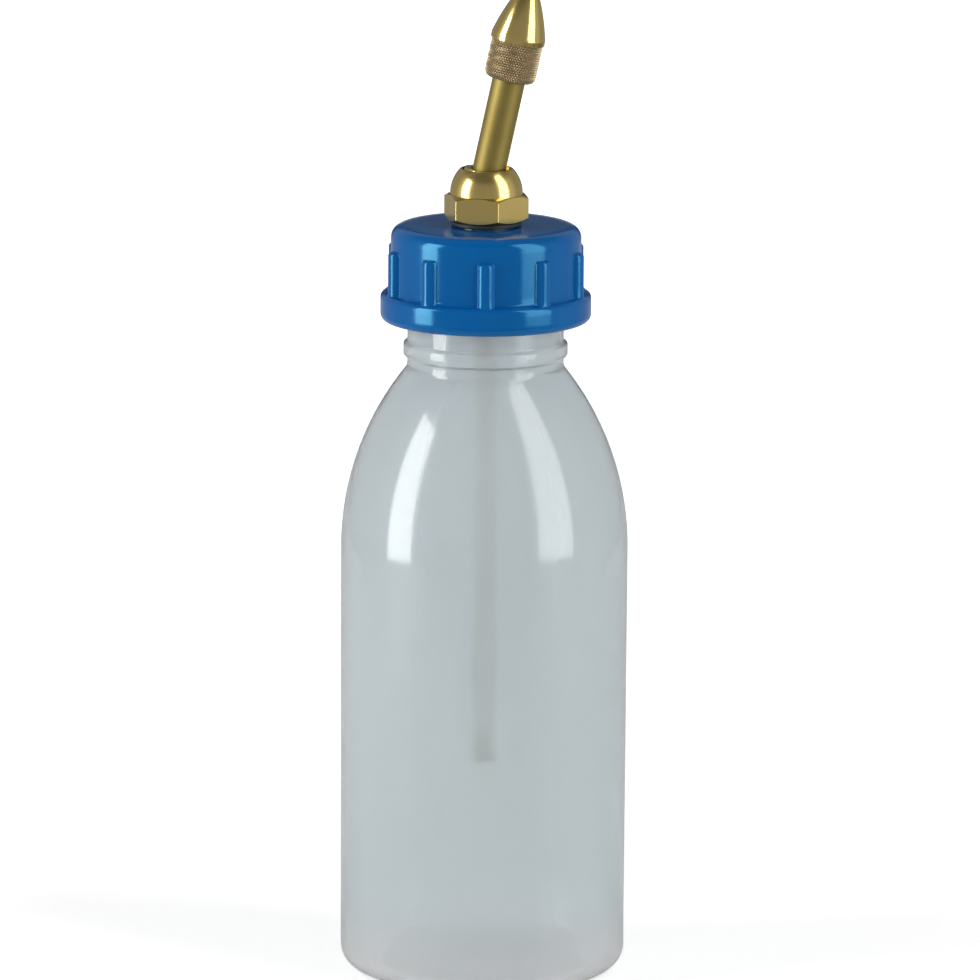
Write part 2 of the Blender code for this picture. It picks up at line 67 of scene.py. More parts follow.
# %% Camera
PICTURE_PIXELS = 980
SENSOR_MM = 36
FOCAL_PIXELS = 11067.5
CAMERA_PLACE = (0.00115, -2.1567, 0.5153)
CAMERA_ELEVATION = math.radians(11.386)
CAMERA_ROLL = math.radians(0.346)
PICTURE_DROP_PIXELS = 78.03


def photo_camera():
    """A camera whose view axis is turned up by the picture's drop, so that it needs no shift."""
    ahead = np.array((0, math.cos(CAMERA_ELEVATION), -math.sin(CAMERA_ELEVATION)))
    level = np.array((0, math.sin(CAMERA_ELEVATION), math.cos(CAMERA_ELEVATION)))
    across = np.array((1.0, 0, 0))
    right = math.cos(CAMERA_ROLL) * across + math.sin(CAMERA_ROLL) * level
    up = math.cos(CAMERA_ROLL) * level - math.sin(CAMERA_ROLL) * across
    ahead = ahead + PICTURE_DROP_PIXELS / FOCAL_PIXELS * up
    ahead = ahead / np.linalg.norm(ahead)
    up = np.cross(right, ahead)
    data = bpy.data.cameras.new("camera")
    data.sensor_width = SENSOR_MM
    data.lens = FOCAL_PIXELS / PICTURE_PIXELS * SENSOR_MM
    data.clip_start = 0.1
    data.clip_end = 20
    camera = bpy.data.objects.new("camera", data)
    turn = Matrix(np.column_stack((right, up, -ahead)).tolist()).to_4x4()
    camera.matrix_world = Matrix.Translation(CAMERA_PLACE) @ turn
    bpy.context.scene.collection.objects.link(camera)
    bpy.context.scene.camera = camera
    return camera


camera = photo_camera()
print("lens:", round(camera.data.lens, 1), "mm")

# %% [markdown]
# ## Surfaces from numpy grids
# Almost every piece was turned or moulded round, so each is one profile carried round an axis.
# Rows of the grid follow the profile and columns go round. A grid can still carry ribs, threads
# or a hexagon, because each point's radius and height may change with its angle. All points are
# worked out as whole arrays.

# %% Grid to mesh
CREASE = math.radians(32)


def signed_volume(points, faces):
    """Six times the volume inside the faces: the sum of a . (b x c) over their triangles."""
    a, b, c = (points[faces[:, k]] for k in range(3))
    total = np.einsum("ij,ij->", a, np.cross(b, c))
    if faces.shape[1] == 4:
        d = points[faces[:, 3]]
        total += np.einsum("ij,ij->", a, np.cross(c, d))
    return total


def grid_piece(name, points, closed=True, marks=None):
    """A mesh on a grid of rows and columns of points.

    Point (i, j) is joined to (i + 1, j) and (i, j + 1), and the last column to the first. A
    closed profile joins its last row to its first. An open one starts and ends in one point on
    the axis. The UV map holds the share of a turn and the length along the profile in metres.
    """
    rows, columns = points.shape[:2]
    across = np.arange(columns)
    beside = (across + 1) % columns
    steps = np.linalg.norm(np.diff(points, axis=0, append=points[:1]), axis=2).mean(axis=1)
    along = np.concatenate(([0], np.cumsum(steps)))
    index = np.arange(rows * columns).reshape(rows, columns)
    flat = points.reshape(-1, 3)
    tips = np.zeros((0, 3), int)
    tip_uv = np.zeros((0, 3, 2))
    first, last = (0, rows) if closed else (1, rows - 2)
    here = np.arange(first, last)
    there = (here + 1) % rows
    quads = np.stack(
        [
            index[here][:, across],
            index[here][:, beside],
            index[there][:, beside],
            index[there][:, across],
        ],
        axis=-1,
    ).reshape(-1, 4)
    u = np.stack([across, across + 1, across + 1, across], axis=-1) / columns
    v = np.stack([along[here], along[here], along[here + 1], along[here + 1]], axis=-1)
    quad_uv = np.stack(np.broadcast_arrays(u[None], v[:, None]), axis=-1).reshape(-1, 4, 2)
    if not closed:
        start, end = index[0, 0], index[-1, 0]
        bottom = np.stack([np.full(columns, start), index[1, beside], index[1, across]], axis=-1)
        top = np.stack([np.full(columns, end), index[-2, across], index[-2, beside]], axis=-1)
        tips = np.concatenate((bottom, top))
        middle = (across + 0.5) / columns
        near, far = np.full(columns, along[1]), np.full(columns, along[rows - 2])
        low = np.stack([middle, middle * 0, (across + 1) / columns, near, across / columns, near])
        high = np.stack(
            [middle, np.full(columns, along[rows - 1]), across / columns, far]
            + [(across + 1) / columns, far]
        )
        tip_uv = np.concatenate((low.T.reshape(-1, 3, 2), high.T.reshape(-1, 3, 2)))
    if signed_volume(flat, quads) + signed_volume(flat, tips) < 0:
        quads, quad_uv = quads[:, ::-1], quad_uv[:, ::-1]
        tips, tip_uv = tips[:, ::-1], tip_uv[:, ::-1]
    used = np.unique(np.concatenate((quads.ravel(), tips.ravel())))
    renumber = np.zeros(len(flat), int)
    renumber[used] = np.arange(len(used))
    mesh = bpy.data.meshes.new(name)
    faces = renumber[quads].tolist() + renumber[tips].tolist()
    mesh.from_pydata(flat[used].tolist(), [], faces)
    layer = mesh.uv_layers.new(name="profile")
    layer.data.foreach_set("uv", np.concatenate((quad_uv.ravel(), tip_uv.ravel())))
    for title, values in (marks or {}).items():
        mark = mesh.attributes.new(title, "FLOAT", "POINT")
        mark.data.foreach_set("value", values.reshape(-1)[used])
    mesh.shade_smooth()
    mesh.set_sharp_from_angle(angle=CREASE)
    piece = bpy.data.objects.new(name, mesh)
    bpy.context.scene.collection.objects.link(piece)
    triangles = 2 * len(quads) + len(tips)
    size = np.ptp(flat, axis=0) / MM
    print(f"{name}: {triangles} triangles, {size[0]:.1f} x {size[1]:.1f} x {size[2]:.1f} mm")
    return piece


def even_turn(columns):
    """Angles evenly round a turn, from the back (+Y), where a seam is least seen."""
    return math.pi / 2 + math.tau * np.arange(columns) / columns


def turned(radius, height, angles):
    """Points at x = radius cos(angle), y = radius sin(angle), z = height, rows by columns."""
    radius, height, angles = np.broadcast_arrays(radius, height, angles[None])
    return np.stack([radius * np.cos(angles), radius * np.sin(angles), height], axis=-1)


# %% [markdown]
# ## Profiles
# A maker's drawing gives a section as corners, each with its own small radius. The function
# below turns such a list into a smooth line of points: a fillet touches both edges at the
# distance radius times tan(turn / 2) from the corner, and long straight edges are divided so
# that the shading stays even next to a fillet.

# %% Profile helpers
FILLET_STEPS = 7


def arc(centre, radius, start, end, steps):
    """Points (radius, height) on a circle, centre + radius (cos a, sin a), a in degrees."""
    a = np.radians(np.linspace(start, end, steps + 1))
    return np.column_stack((centre[0] + radius * np.cos(a), centre[1] + radius * np.sin(a)))


def bowed(start, end, bulge, steps):
    """Points from start to end on a parabola that leaves the straight line by bulge."""
    start, end = np.array(start), np.array(end)
    t = np.linspace(0, 1, steps + 1)[:, None]
    side = np.array((start[1] - end[1], end[0] - start[0]))
    side = side / np.linalg.norm(side)
    return start + (end - start) * t + side * 4 * bulge * t * (1 - t)


def divided(path, spacing):
    """The path with points added, so that no step is longer than its spacing."""
    step = np.hypot(*np.diff(path, axis=0).T)
    count = np.maximum(np.ceil(step / spacing - 1e-6), 1).astype(int)
    begin = np.repeat(np.arange(len(count)), count)
    rank = np.arange(count.sum()) - np.repeat(np.cumsum(count) - count, count)
    share = (rank / np.repeat(count, count))[:, None]
    points = path[begin] * (1 - share) + path[begin + 1] * share
    return np.vstack((points, path[-1:]))


def filleted(corners):
    """A closed profile from corners (radius, height, fillet, spacing of the edge that follows)."""
    corner = np.array(corners)
    place = corner[:, :2]
    back = np.roll(place, 1, axis=0) - place
    ahead = np.roll(place, -1, axis=0) - place
    runs = []
    for here, before, after, size in zip(place, back, ahead, corner[:, 2]):
        if size == 0:
            runs.append(here[None])
            continue
        before, after = before / np.linalg.norm(before), after / np.linalg.norm(after)
        turn = math.pi - math.acos(np.clip(before @ after, -1, 1))
        reach = size * math.tan(turn / 2)
        middle = here + (before + after) / np.linalg.norm(before + after) * math.hypot(size, reach)
        first = here + before * reach - middle
        last = here + after * reach - middle
        begin = math.atan2(first[1], first[0])
        sweep = math.remainder(math.atan2(last[1], last[0]) - begin, math.tau)
        angles = (math.degrees(begin), math.degrees(begin + sweep))
        runs.append(arc(middle, size, *angles, FILLET_STEPS))
    edges = []
    for run, after, spacing in zip(runs, runs[1:] + runs[:1], corner[:, 3]):
        edges += [run[:-1], divided(np.vstack((run[-1:], after[:1])), spacing)[:-1]]
    return np.vstack(edges)


def ridge(height, angles, start, end_fade, turns, pitch, root, crest):
    """How proud a screw ridge stands, from 0 to 1, at each height and angle.

    The ridge's middle climbs by one pitch a turn. Its share is (root / 2 - distance from the
    middle) / ((root - crest) / 2), held between 0 and 1, and it fades in and out at its ends.
    """
    turn = np.mod(angles, math.tau) / math.tau
    lap = np.round((height - start) / pitch - turn)
    travel = lap + turn
    away = np.abs(height - start - pitch * travel)
    flank = np.clip((root / 2 - away) / ((root - crest) / 2), 0, 1)
    fade = np.clip(np.minimum(travel, turns - travel) / end_fade, 0, 1)
    return flank * fade


# %% [markdown]
# ## The bottle
# Bottles like this are blown from soft polyethylene: a straight side, one long arc for the
# shoulder, a bead on the neck that the blow mould grips, a coarse thread and a base pushed up
# in the middle so that it stands on a ring. The wall is real here, with an inner and an outer
# skin 1.2 mm apart, because milky plastic only looks right when light crosses both.

# %% Bottle
bottle_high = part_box("bottle")[1]
BODY_RADIUS = bottle_high[0]
LIP_HEIGHT = bottle_high[2]
BODY_DRAFT = 0.23 * MM
BODY_HEIGHT = 85.5 * MM
BODY_WALL = 1.2 * MM
SHOULDER_RADIUS = 57.5 * MM
HEEL_RADIUS = 4.8 * MM
FOOT_WIDTH = 3.0 * MM
PUSH_UP = 2.6 * MM
BASE_BOW = 0.4 * MM
NECK_RADIUS = 15.5 * MM
NECK_BORE = 14.0 * MM
NECK_HEIGHT = 23.7 * MM
NECK_FILLET = 2.5 * MM
LIP_ROUND = 0.5 * MM
BEAD_RISE = 0.9 * MM
BEAD_HEIGHT = 3.5 * MM
BEAD_DEPTH = 0.8 * MM
BEAD_ROUND = 0.6 * MM
THREAD_PITCH = 4.0 * MM
THREAD_DEPTH = 1.4 * MM
THREAD_ROOT = 2.3 * MM
THREAD_CREST = 1.1 * MM
THREAD_TURNS = 1.5
THREAD_FADE = 24 / 360
THREAD_DROP = 6.2 * MM
THREAD_ROWS = 0.17 * MM
SIDE_ROWS = 2.5 * MM
SAME_RADIUS = 1e-6
NECK_BASE = LIP_HEIGHT - NECK_HEIGHT
NECK_THREAD_START = LIP_HEIGHT - THREAD_DROP - THREAD_PITCH * THREAD_TURNS


def bottle_surface(columns=192):
    """The profile runs up the inside, over the lip and down the outside, from axis to axis."""
    heel = (BODY_RADIUS - BODY_DRAFT - HEEL_RADIUS, HEEL_RADIUS)
    foot_inner = heel[0] - FOOT_WIDTH
    arc_centre = (BODY_RADIUS - SHOULDER_RADIUS, BODY_HEIGHT)
    fillet_centre = (NECK_RADIUS + NECK_FILLET, NECK_BASE)
    reach = SHOULDER_RADIUS + NECK_FILLET
    outer_end = math.degrees(math.acos((fillet_centre[0] - arc_centre[0]) / reach))
    inner_radius = SHOULDER_RADIUS - BODY_WALL
    inner_end = math.degrees(math.acos((NECK_BORE - arc_centre[0]) / inner_radius))
    bead_bottom = NECK_BASE + BEAD_RISE
    bead_top = bead_bottom + BEAD_HEIGHT
    bead_radius = NECK_RADIUS + BEAD_DEPTH
    neck = filleted(
        [
            (NECK_BORE, NECK_BASE + NECK_FILLET, 0, 2 * MM),
            (NECK_BORE, LIP_HEIGHT, LIP_ROUND, 1 * MM),
            (NECK_RADIUS, LIP_HEIGHT, LIP_ROUND, THREAD_ROWS),
            (NECK_RADIUS, bead_top, BEAD_ROUND / 2, MM),
            (bead_radius, bead_top - BEAD_ROUND, BEAD_ROUND, MM),
            (bead_radius, bead_bottom + BEAD_ROUND, BEAD_ROUND, MM),
            (NECK_RADIUS, bead_bottom, BEAD_ROUND / 2, MM),
            (NECK_RADIUS, NECK_BASE, 0, 20 * MM),
        ]
    )
    path = np.vstack(
        [
            bowed((0, PUSH_UP + BODY_WALL), (foot_inner, BODY_WALL), BASE_BOW, 16),
            arc(heel, HEEL_RADIUS - BODY_WALL, -90, 0, 12)[1:],
            divided(
                np.array([(heel[0] + HEEL_RADIUS - BODY_WALL, HEEL_RADIUS)]
                         + [(BODY_RADIUS - BODY_WALL, BODY_HEIGHT)]),
                SIDE_ROWS,
            )[1:],
            arc(arc_centre, inner_radius, 0, inner_end, 36)[1:],
            neck,
            arc(fillet_centre, NECK_FILLET, 180, 180 + outer_end, 12)[1:],
            arc(arc_centre, SHOULDER_RADIUS, outer_end, 0, 48)[1:],
            divided(
                np.array([(BODY_RADIUS, BODY_HEIGHT), (heel[0] + HEEL_RADIUS, HEEL_RADIUS)]),
                SIDE_ROWS,
            )[1:],
            arc(heel, HEEL_RADIUS, 0, -90, 20)[1:],
            divided(np.array([(heel[0], 0), (foot_inner, 0)]), MM)[1:],
            bowed((foot_inner, 0), (0, PUSH_UP), -BASE_BOW, 16)[1:],
        ]
    )
    radius, height = path[:, :1], path[:, 1:]
    angles = even_turn(columns)
    proud = ridge(
        height, angles, NECK_THREAD_START, THREAD_FADE, THREAD_TURNS, THREAD_PITCH,
        THREAD_ROOT, THREAD_CREST,
    )
    outside = (np.abs(radius - NECK_RADIUS) < SAME_RADIUS) & (height > bead_top)
    radius = radius + THREAD_DEPTH * proud * outside
    return grid_piece("bottle_shell", turned(radius, height, angles), closed=False)


bottle_shell = bottle_surface()
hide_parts("bottle")
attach(bottle_shell, "bottle")

# %% [markdown]
# ## The screw cap
# The cap is moulded from a harder, opaque plastic. Ten upright half-round ribs give the fingers
# grip and end on a flange at the lower edge. A rib is a change of radius, from the wall to the
# far side of a small circle, and the flange's top shrinks to make room, so one grid stays whole
# from the top face to the thread inside.

# %% Screw cap
cap_low, cap_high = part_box("screw_cap")
CAP_TOP = cap_high[2]
CAP_BOTTOM = cap_low[2]
STEM_HOLE = 6.15 * MM
CAP_RADIUS = 18.85 * MM
CAP_BORE = 17.25 * MM
CAP_TOP_WALL = 2.2 * MM
CAP_EDGE = 2.4 * MM
CAP_INNER_EDGE = 0.8 * MM
FLANGE_RADIUS = 20.87 * MM
FLANGE_HEIGHT = 5.6 * MM
FLANGE_ROUND = 1.0 * MM
FLANGE_FOOT_ROUND = 1.4 * MM
FLANGE_FILLET = 0.8 * MM
RIB_COUNT = 10
RIB_RADIUS = 1.8 * MM
RIB_CENTRE = 18.42 * MM
RIB_DROP = 4.5 * MM
RIB_ROUND = 0.8 * MM
CAP_THREAD_START = NECK_THREAD_START - THREAD_PITCH / 2


def rib_angles():
    """Columns spaced evenly along each rib's half circle, and evenly along the gaps between."""
    near = (CAP_RADIUS**2 - RIB_CENTRE**2 - RIB_RADIUS**2) / (2 * RIB_CENTRE * RIB_RADIUS)
    t = np.linspace(math.acos(near), 0, 13)
    rib = np.arctan2(RIB_RADIUS * np.sin(t), RIB_CENTRE + RIB_RADIUS * np.cos(t))
    gap = np.linspace(math.pi / RIB_COUNT, rib[0], 10)[:-1]
    half = np.concatenate((gap, rib))
    local = np.concatenate((-half, half[-2:0:-1]))
    middles = math.pi / 2 + math.tau * np.arange(RIB_COUNT) / RIB_COUNT
    return (middles[:, None] + local).ravel()


def rib_swell(height, angles, rib_top):
    """How far the ribs stand proud of the wall.

    A ray at the angle a from a rib's middle leaves its circle at c cos a + sqrt(r^2 - c^2 sin^2 a).
    The circle's radius r shrinks along a quarter of an arc at the rib's top end.
    """
    off = np.mod(angles * RIB_COUNT / math.tau - RIB_COUNT / 4 + 0.5, 1) - 0.5
    off = off * math.tau / RIB_COUNT
    over = np.clip(height - (rib_top - RIB_ROUND), 0, RIB_ROUND)
    size = RIB_RADIUS - RIB_ROUND + np.sqrt(RIB_ROUND**2 - over**2)
    half_chord = size**2 - (RIB_CENTRE * np.sin(off)) ** 2
    far = RIB_CENTRE * np.cos(off) + np.sqrt(np.maximum(half_chord, 0))
    inside = (half_chord > 0) & (height <= rib_top)
    return np.where(inside, np.maximum(far - CAP_RADIUS, 0), 0)


def edge_drop(radius):
    """Depth of the flange's rounded upper edge below its top, at a radius."""
    past = np.clip(radius - (FLANGE_RADIUS - FLANGE_ROUND), 0, FLANGE_ROUND)
    return FLANGE_ROUND - np.sqrt(FLANGE_ROUND**2 - past**2)


def cap_surface():
    """A closed section: top face, rounded edge, ribbed wall, flange, threaded bore, ceiling.

    Points that a rib pushes outwards slide down the flange's rounded edge.
    """
    flange_top = CAP_BOTTOM + FLANGE_HEIGHT
    ceiling = CAP_TOP - CAP_TOP_WALL
    rib_top = CAP_TOP - RIB_DROP
    thread_top = CAP_THREAD_START + THREAD_PITCH * THREAD_TURNS + THREAD_ROOT
    thread_bottom = CAP_THREAD_START - THREAD_ROOT / 2
    path = filleted(
        [
            (STEM_HOLE, CAP_TOP, 0, 1.5 * MM),
            (CAP_RADIUS, CAP_TOP, CAP_EDGE, 0.4 * MM),
            (CAP_RADIUS, rib_top + 0.03 * MM, 0, MM),
            (CAP_RADIUS, rib_top, 0, 0.08 * MM),
            (CAP_RADIUS, rib_top - RIB_ROUND, 0, 1.2 * MM),
            (CAP_RADIUS, flange_top, FLANGE_FILLET, 0.3 * MM),
            (FLANGE_RADIUS, flange_top, FLANGE_ROUND, 0.8 * MM),
            (FLANGE_RADIUS, CAP_BOTTOM, FLANGE_FOOT_ROUND, 0.8 * MM),
            (CAP_BORE, CAP_BOTTOM, 0.2 * MM, 0.5 * MM),
            (CAP_BORE, thread_bottom, 0, THREAD_ROWS),
            (CAP_BORE, thread_top, 0, 1.5 * MM),
            (CAP_BORE, ceiling, CAP_INNER_EDGE, 1.5 * MM),
            (STEM_HOLE, ceiling, 0, 1 * MM),
        ]
    )
    radius, height = path[:, :1], path[:, 1:]
    angles = rib_angles()
    room = FLANGE_RADIUS - CAP_RADIUS
    share = rib_swell(height, angles, rib_top) / room
    ribbed = radius + share * (FLANGE_RADIUS - radius)
    wall = (radius >= CAP_RADIUS - SAME_RADIUS) & (height > flange_top - FLANGE_ROUND)
    edge = wall & (height < flange_top + FLANGE_FILLET)
    height = height - np.where(edge, edge_drop(ribbed) - edge_drop(radius), 0)
    proud = ridge(
        height, angles, CAP_THREAD_START, THREAD_FADE, THREAD_TURNS, THREAD_PITCH,
        THREAD_ROOT, THREAD_CREST,
    )
    bore = np.abs(radius - CAP_BORE) < SAME_RADIUS
    radius = np.where(wall, ribbed, radius) - THREAD_DEPTH * proud * bore
    return grid_piece("screw_cap_shell", turned(radius, height, angles))


screw_cap_shell = cap_surface()
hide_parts("screw_cap")
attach(screw_cap_shell, "cap")

# %% [markdown]
# ## The rubber washer and the dome nut
# The nut is cut from hexagon bar. The lathe chamfers it with a 30 degree cone, which leaves
# curved edges on the six flats, and turns the upper half to a dome that holds the ball in. The
# hexagon is a radius that depends on the angle: half the width across flats divided by the
# cosine of the angle from the nearest flat, with each corner rounded by a small arc.

# %% Washer and dome nut
washer_low, washer_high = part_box("outer_washer")
nut_low, nut_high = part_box("dome_nut")
HEX_FLAT = 7.5 * MM
HEX_TURN = math.radians(-74.5)
HEX_HEIGHT = 5.2 * MM
HEX_ROUND = 0.25 * MM
HEX_ROUND_ANGLE = math.radians(0.84)
HEX_ROWS = 6
WASHER_EDGE = 0.2 * MM
DOME_RADIUS = 7.2 * MM
NUT_OPENING = 4.736 * MM
NUT_LIP = 0.5 * MM
CAVITY_RADIUS = 5.35 * MM
NUT_GRIP = 2.5 * MM
SEAT_GAP = 0.2 * MM
ball_joint = next(joint for joint in frame["joints"] if joint["name"] == "spout_tilt")
BALL_CENTRE = np.array(ball_joint["pos_m"])
SHARP_BREAK = 0.12 * MM


def washer_surface(columns=96):
    """A ring with a rectangular section whose corners are slightly rounded."""
    outer, bottom, top = washer_high[0], washer_low[2], washer_high[2]
    path = filleted(
        [
            (STEM_HOLE, bottom, 0, 2 * MM),
            (STEM_HOLE, top, 0, 2 * MM),
            (outer, top, WASHER_EDGE, 2 * MM),
            (outer, bottom, WASHER_EDGE, 2 * MM),
        ]
    )
    return grid_piece("washer_ring", turned(path[:, :1], path[:, 1:], even_turn(columns)))


def hexagon_radius(angles):
    """Distance from the axis to a hexagon with rounded corners, at each angle.

    On a flat it is flat / cos(angle from the flat's middle). Near a corner it is the far side of
    a circle whose centre lies at c = (flat - round) / cos 30, which is
    c cos d + sqrt(round^2 - c^2 sin^2 d).
    """
    sixth = math.pi / 3
    from_corner = np.abs(np.mod(angles - HEX_TURN + sixth / 2, sixth) - sixth / 2)
    flat = HEX_FLAT / np.cos(sixth / 2 - from_corner)
    centre = (HEX_FLAT - HEX_ROUND) / math.cos(sixth / 2)
    inside = np.maximum(HEX_ROUND**2 - (centre * np.sin(from_corner)) ** 2, 0)
    corner = centre * np.cos(from_corner) + np.sqrt(inside)
    limit = math.atan2(HEX_ROUND / 2, centre + HEX_ROUND * math.cos(sixth / 2))
    return np.where(from_corner < limit, corner, flat)


def hexagon_angles():
    """Columns of six flats, crowded at the rounded corners."""
    corner = np.linspace(-HEX_ROUND_ANGLE, HEX_ROUND_ANGLE, 7)
    flat = np.linspace(HEX_ROUND_ANGLE, math.pi / 3 - HEX_ROUND_ANGLE, 24)[1:-1]
    local = np.concatenate((corner, flat))
    return (HEX_TURN + math.pi / 3 * np.arange(6)[:, None] + local).ravel()


def dome_nut_surface():
    """A closed section whose middle rows follow the hexagon and the chamfer's cone."""
    bottom, top = nut_low[2], nut_high[2]
    hex_top = bottom + HEX_HEIGHT
    slope = math.tan(math.pi / 6)
    lip_outer = NUT_OPENING + NUT_LIP
    dome_centre = top - math.sqrt(DOME_RADIUS**2 - lip_outer**2)
    start = math.degrees(math.acos(lip_outer / DOME_RADIUS))
    end = math.degrees(math.asin(max(hex_top - dome_centre, 0) / DOME_RADIUS))
    dome = arc((0, dome_centre), DOME_RADIUS, start, end, 28)
    foot = divided(np.array([dome[-1], (DOME_RADIUS, hex_top)]), 0.5 * MM)[1:]
    upper = np.vstack((dome, foot))
    ball_z = BALL_CENTRE[2]
    cavity_end = math.degrees(math.asin((top - ball_z) / CAVITY_RADIUS))
    cavity = arc((0, ball_z), CAVITY_RADIUS, 0, cavity_end, 12)
    thread_end = bottom + NUT_GRIP + SEAT_GAP
    lower = np.vstack(
        [
            (HEX_FLAT - SHARP_BREAK, bottom),
            (STEM_HOLE, bottom),
            (STEM_HOLE, thread_end),
            (CAVITY_RADIUS, thread_end + STEM_HOLE - CAVITY_RADIUS),
            cavity,
        ]
    )
    angles = hexagon_angles()
    hexagon = hexagon_radius(angles)
    fall = (hexagon - HEX_FLAT + SHARP_BREAK) * slope
    flat_rows = np.linspace(0, 1, HEX_ROWS)[:, None]
    high, low = hex_top - fall, bottom + fall
    ones = np.ones_like(angles)
    shelf = np.array([(HEX_FLAT - SHARP_BREAK, hex_top)])
    radius = np.vstack(
        [upper[:, :1] * ones, shelf[:, :1] * ones, hexagon * np.ones((HEX_ROWS, 1))]
        + [lower[:, :1] * ones]
    )
    height = np.vstack(
        [upper[:, 1:] * ones, shelf[:, 1:] * ones, high + (low - high) * flat_rows]
        + [lower[:, 1:] * ones]
    )
    return grid_piece("dome_nut_body", turned(radius, height, angles))


washer_ring = washer_surface()
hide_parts("outer_washer")
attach(washer_ring, "cap")

dome_nut_body = dome_nut_surface()
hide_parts("dome_nut")
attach(dome_nut_body, "cap")

# %% [markdown]
# ## The spout: ball, tube and nozzle
# These three were turned about one axis, which leans by twelve degrees. Each is worked out
# upright first, with heights measured from the middle of the ball, and then leaned as a whole
# array. The nozzle's grip is rolled between two wheels, which leaves small pyramids where two
# sets of slanting grooves cross: the height is the lower of two zigzag waves.

# %% Ball, tube and nozzle
SPOUT_TILT = math.radians(12)
BALL_RADIUS = 5.1 * MM
BALL_BORE = 3.47 * MM
TUBE_RADIUS = 3.27 * MM
TUBE_BORE = 2.27 * MM
TUBE_INSET = 0.3 * MM
BALL_CUT = 2.0 * MM
NOZZLE_START = 20.7 * MM
NOZZLE_GRIP = 6.6 * MM
NOZZLE_RADIUS = 5.17 * MM
NOZZLE_ROUND = 1.3 * MM
KNURL_LENGTH = 7.9 * MM
BAND_LENGTH = 1.1 * MM
BAND_RADIUS = 5.37 * MM
OGIVE_LENGTH = 11.2 * MM
OGIVE_BULGE = 0.4 * MM
TIP_RADIUS = 0.9 * MM
ORIFICE_RADIUS = 0.45 * MM
TIP_WALL = 4.4 * MM
NOZZLE_BORE = 1.9 * MM
SEAL_THICKNESS = 0.8 * MM
KNURL_STARTS = 60
KNURL_SLANT = math.radians(30)
KNURL_DEPTH = 0.3 * MM
KNURL_ROWS = 0.11 * MM
KNURL_FADE = 0.25 * MM
KNURL_FOOT_SHARE = 0.7


def leaned(points):
    """Points turned by the spout's tilt about +Y, then moved to the ball's centre."""
    x, y, z = np.moveaxis(points, -1, 0)
    c, s = math.cos(SPOUT_TILT), math.sin(SPOUT_TILT)
    return np.stack([c * x + s * z, y, c * z - s * x], axis=-1) + BALL_CENTRE


def spout_pieces(columns=96):
    """The ball is a zone of a sphere with a flat top and a bore. The tube is a ring."""
    flat = math.degrees(math.acos(BALL_BORE / BALL_RADIUS))
    cut = math.degrees(math.asin(BALL_CUT / BALL_RADIUS))
    zone = arc((0, 0), BALL_RADIUS, cut, -flat, 32)
    bore = divided(np.array([zone[-1], (BALL_BORE, BALL_CUT)]), 1.5 * MM)[1:]
    path = np.vstack((zone, bore))
    angles = even_turn(columns)
    ball = grid_piece("spout_ball_turned", leaned(turned(path[:, :1], path[:, 1:], angles)))
    bottom = TUBE_INSET - BALL_RADIUS * math.sin(math.radians(flat))
    top = NOZZLE_START + NOZZLE_GRIP
    path = filleted(
        [
            (TUBE_BORE, bottom, 0, 4 * MM),
            (TUBE_BORE, top, 0, MM),
            (TUBE_RADIUS, top, SHARP_BREAK, 1.5 * MM),
            (TUBE_RADIUS, bottom, SHARP_BREAK, MM),
        ]
    )
    tube = grid_piece("spout_tube_drawn", leaned(turned(path[:, :1], path[:, 1:], angles)))
    return ball, tube


def nozzle_surface(columns=480):
    """One closed section. Its knurled rows sink by depth (1 - lower of two zigzag waves).

    A zigzag wave of the phase p is 1 - |2 frac(p) - 1|, and the two phases are
    starts (turn + or - height tan(slant) / circumference).
    """
    seal_top = NOZZLE_START + NOZZLE_GRIP + SEAT_GAP + SEAL_THICKNESS
    bore_start = seal_top + SEAT_GAP
    knurl_top = NOZZLE_START + KNURL_LENGTH
    ogive_start = knurl_top + BAND_LENGTH
    tip = ogive_start + OGIVE_LENGTH
    bore_end = tip - TIP_WALL
    ogive = bowed((TIP_RADIUS, tip), (BAND_RADIUS, ogive_start), OGIVE_BULGE, 40)
    band = divided(np.array([ogive[-1], (BAND_RADIUS, knurl_top)]), 0.4 * MM)[1:]
    grip = divided(
        np.array([(NOZZLE_RADIUS, knurl_top), (NOZZLE_RADIUS, NOZZLE_START + NOZZLE_ROUND)]),
        KNURL_ROWS,
    )
    round_end = arc(
        (NOZZLE_RADIUS - NOZZLE_ROUND, NOZZLE_START + NOZZLE_ROUND), NOZZLE_ROUND, 0, -90, 12
    )[1:]
    inside = np.array(
        [
            (BALL_BORE, NOZZLE_START),
            (BALL_BORE, bore_start),
            (NOZZLE_BORE, bore_start),
            (NOZZLE_BORE, bore_end - (NOZZLE_BORE - ORIFICE_RADIUS)),
            (ORIFICE_RADIUS, bore_end),
            (ORIFICE_RADIUS, tip),
        ]
    )
    path = np.vstack((ogive, band, grip, round_end, inside))
    radius, height = path[:, :1], path[:, 1:]
    angles = even_turn(columns)
    turn = angles / math.tau
    rise = height * math.tan(KNURL_SLANT) / (math.tau * NOZZLE_RADIUS)
    left = 1 - np.abs(2 * np.mod(KNURL_STARTS * (turn + rise), 1) - 1)
    right = 1 - np.abs(2 * np.mod(KNURL_STARTS * (turn - rise), 1) - 1)
    outer = radius > NOZZLE_RADIUS - NOZZLE_ROUND
    fade_top = np.clip((knurl_top - height) / KNURL_FADE, 0, 1)
    above_foot = radius - NOZZLE_RADIUS + NOZZLE_ROUND
    fade_foot = np.clip(above_foot / (KNURL_FOOT_SHARE * NOZZLE_ROUND), 0, 1)
    knurled = outer * fade_top * fade_foot * np.ones_like(angles)
    sunk = KNURL_DEPTH * (1 - np.minimum(left, right)) * knurled
    points = leaned(turned(radius - sunk, height, angles))
    return grid_piece("nozzle_knurled", points, marks={"knurl": knurled})


